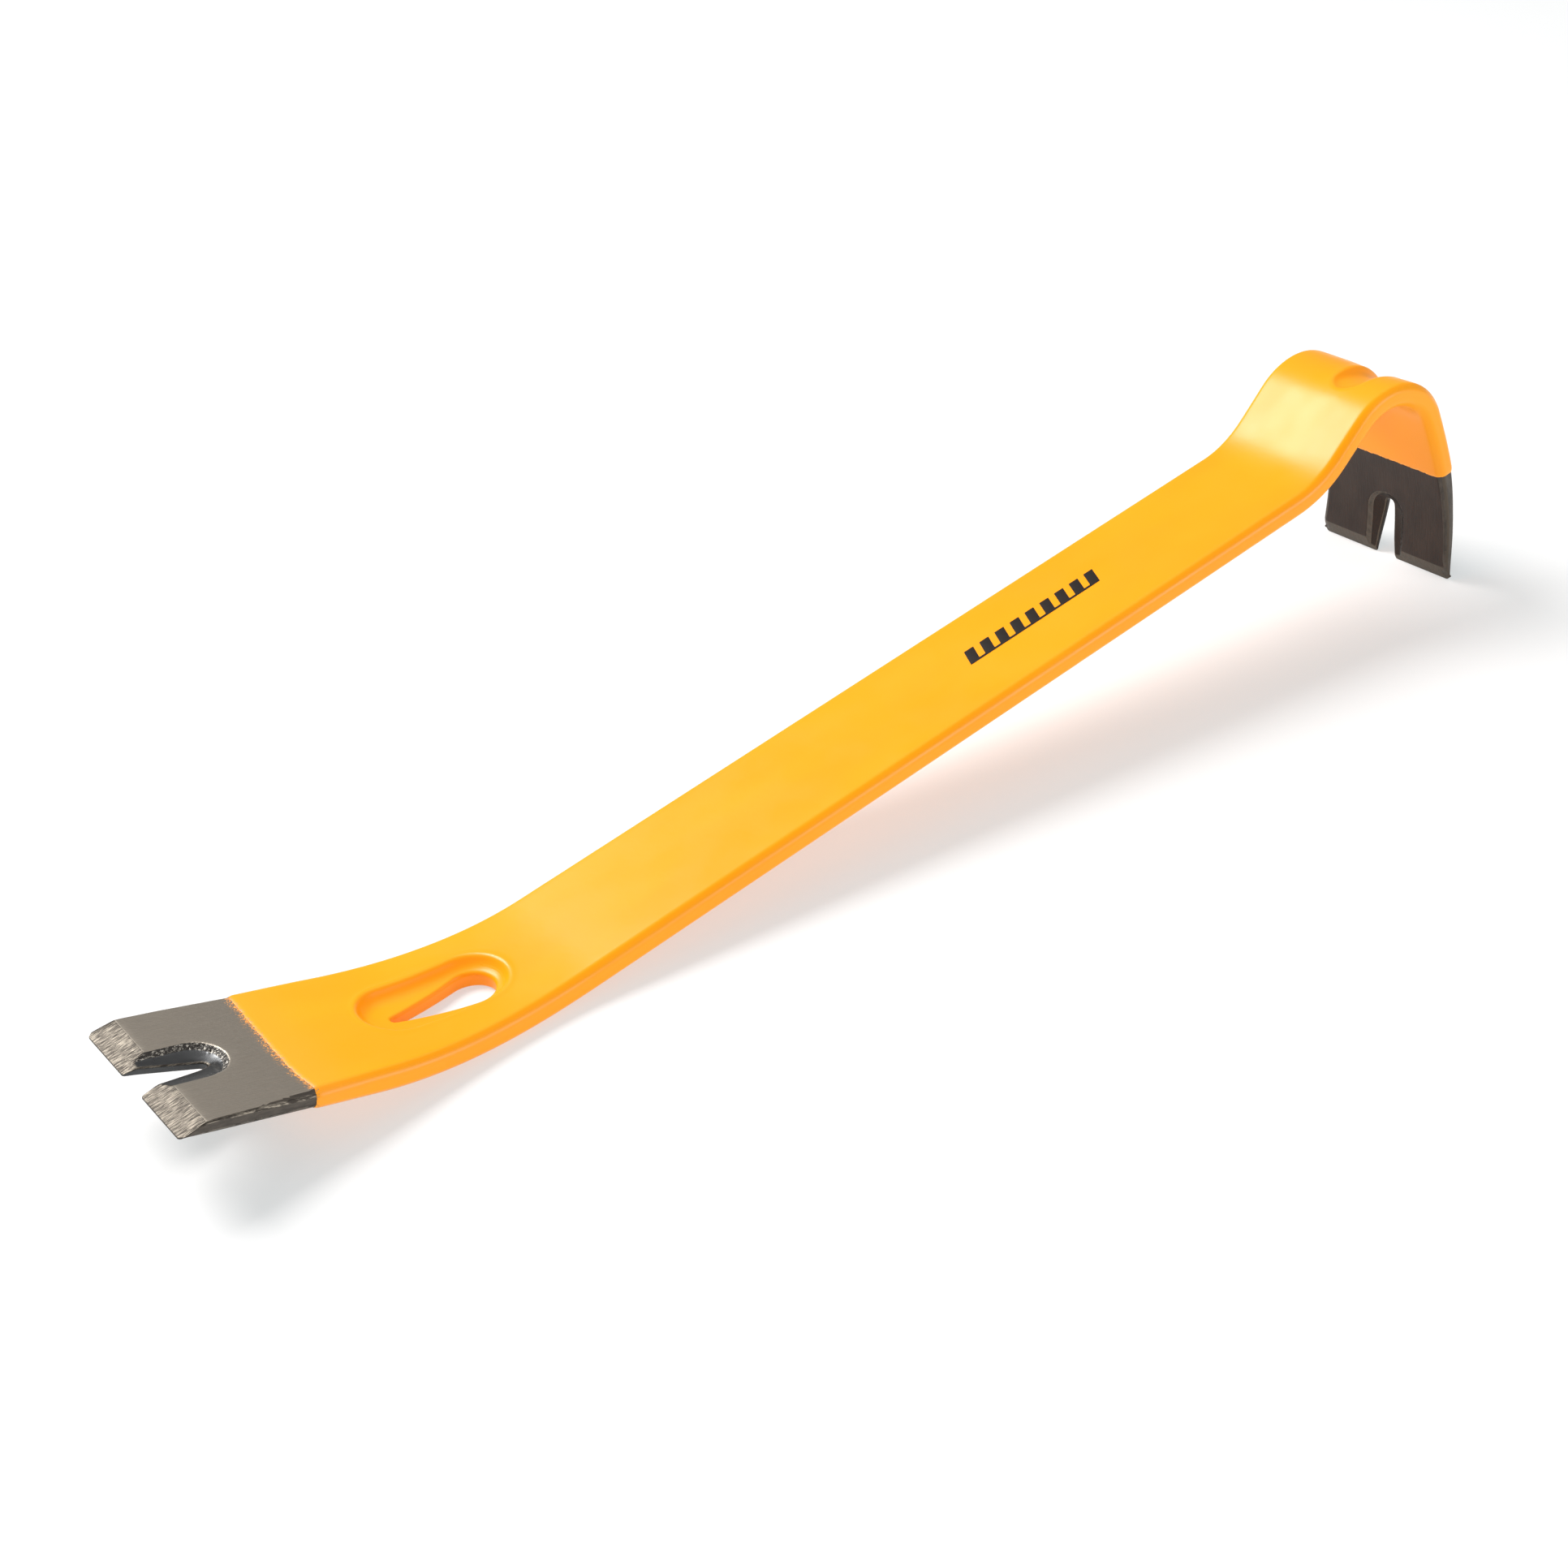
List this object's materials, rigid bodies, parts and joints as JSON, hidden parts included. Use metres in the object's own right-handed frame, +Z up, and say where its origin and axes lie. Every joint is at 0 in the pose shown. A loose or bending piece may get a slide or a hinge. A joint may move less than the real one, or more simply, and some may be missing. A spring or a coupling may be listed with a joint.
{
  "type": "flat pry bar",
  "caption": "Forged flat pry bar with a straight nail claw, a heel bend with a teardrop nail slot, a painted shank and a curved hook claw at the far end.",
  "frame": {"origin": "centre of the bounding box in X and Y, on the ground plane that the heel bend and the hook claw's cutting edges touch", "axes": "+X along the bar from the straight claw to the hook claw, +Y across the bar, +Z up"},
  "size_m": [0.3816, 0.0452, 0.0629],
  "materials": {
    "bare_steel": "clear-lacquered forged steel, brushed along the bar, with ground bevels and rough sunk notches",
    "yellow_coat": "semi-gloss yellow-orange powder coat",
    "dark_ink": "thin satin printing ink"
  },
  "bodies": {
    "root": {"forged_bar": "bare_steel", "paint_coat": "yellow_coat", "printed_mark": "dark_ink"}
  },
  "joints": []
}
